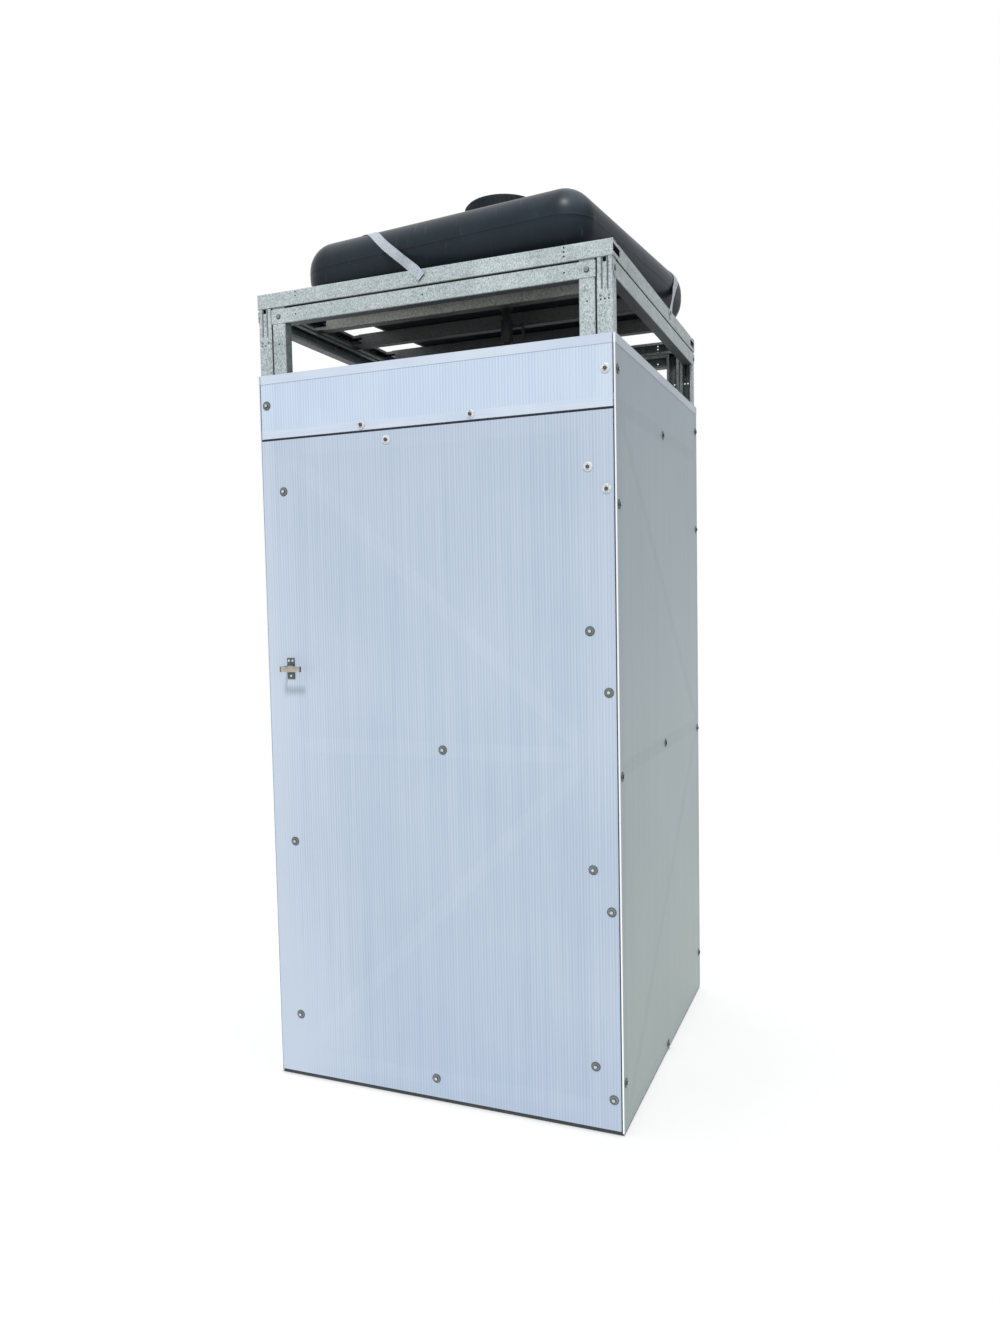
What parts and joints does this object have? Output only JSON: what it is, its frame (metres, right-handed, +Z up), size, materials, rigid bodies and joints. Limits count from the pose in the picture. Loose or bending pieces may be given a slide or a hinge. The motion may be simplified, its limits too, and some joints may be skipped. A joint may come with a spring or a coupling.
{
  "type": "outdoor shower cabin",
  "caption": "Square outdoor shower cabin: crimped steel channel frame, pale cellular sheets, a hinged latched door and a flat dark water tank strapped on top.",
  "frame": {"origin": "on the ground at the middle of the plan, which is the middle of the four anchor holes", "axes": "+Z up; the door is on the -Y side and is hung at its +X edge"},
  "size_m": [1.0188, 1.0518, 2.5083],
  "materials": {
    "galvanised_channel": "spangled galvanised steel",
    "cellular_sheet": "pale translucent cellular sheet",
    "edge_strip": "pale extruded strip",
    "zinc_fastener": "zinc plate",
    "hinge_steel": "zinc plate",
    "tank_plastic": "dark moulded polyethylene, satin",
    "strap_steel": "galvanised strap",
    "fitting_plastic": "black moulded fitting",
    "gasket_rubber": "soft black rubber",
    "latch_steel": "zinc plate"
  },
  "bodies": {
    "frame": {"post_front_left": "galvanised_channel", "post_front_right": "galvanised_channel", "post_rear_left": "galvanised_channel", "post_rear_right": "galvanised_channel", "front_uprights": "galvanised_channel", "rear_uprights": "galvanised_channel", "ring_front": "galvanised_channel", "ring_rear": "galvanised_channel", "ring_left": "galvanised_channel", "ring_right": "galvanised_channel", "top_rail_front": "galvanised_channel", "top_rail_rear": "galvanised_channel", "top_rail_left": "galvanised_channel", "top_rail_right": "galvanised_channel", "header_front": "galvanised_channel", "sill_front": "galvanised_channel", "girt_rear": "galvanised_channel", "girt_left": "galvanised_channel", "girt_right": "galvanised_channel", "mid_rail_rear": "galvanised_channel", "mid_rail_left": "galvanised_channel", "mid_rail_right": "galvanised_channel", "bottom_rail_rear": "galvanised_channel", "bottom_rail_left": "galvanised_channel", "bottom_rail_right": "galvanised_channel", "side_braces": "galvanised_channel", "rear_braces": "galvanised_channel", "tank_joists": "galvanised_channel", "fascia_sheet": "cellular_sheet", "rear_sheet": "cellular_sheet", "side_sheet_left": "cellular_sheet", "side_sheet_right": "cellular_sheet", "edge_caps": "edge_strip", "wall_screws": "zinc_fastener", "frame_bolts": "zinc_fastener", "hinge_flap": "cellular_sheet", "hinge_fixed_leaves": "hinge_steel", "hinge_pins": "hinge_steel", "water_tank": "tank_plastic", "tank_straps": "strap_steel", "tank_outlet": "fitting_plastic", "outlet_gasket": "gasket_rubber", "outlet_nut": "fitting_plastic", "valve_body": "fitting_plastic", "shower_rose": "fitting_plastic"},
    "door": {"door_stile_hinge": "galvanised_channel", "door_stile_latch": "galvanised_channel", "door_rail_top": "galvanised_channel", "door_rail_mid": "galvanised_channel", "door_rail_bottom": "galvanised_channel", "door_braces": "galvanised_channel", "door_cleats": "galvanised_channel", "door_sheet": "cellular_sheet", "door_screws": "zinc_fastener", "hinge_moving_leaves": "hinge_steel", "latch_plate": "latch_steel"},
    "latch": {"latch_lever": "latch_steel", "latch_tongue": "latch_steel"},
    "lid": {"tank_lid": "tank_plastic"},
    "valve_handle": {"valve_lever": "fitting_plastic"}
  },
  "joints": [
    {"name": "door_swing", "type": "hinge", "parent": "frame", "child": "door", "pos_m": [0.4558, -0.4976, 0.9], "axis": [0, 0, 1], "range_deg": [0, 100], "deforming": ["hinge_flap"]},
    {"name": "latch_turn", "type": "hinge", "parent": "door", "child": "latch", "pos_m": [-0.427, -0.5005, 1.16056], "axis": [0, -1, 0], "range_deg": [0, 90]},
    {"name": "lid_lift", "type": "slide", "parent": "frame", "child": "lid", "axis": [0, 0, 1], "range_m": [0, 0.2]},
    {"name": "valve_turn", "type": "hinge", "parent": "frame", "child": "valve_handle", "pos_m": [0.103, -0.13, 2.1154], "axis": [1, 0, 0], "range_deg": [0, 90]}
  ]
}
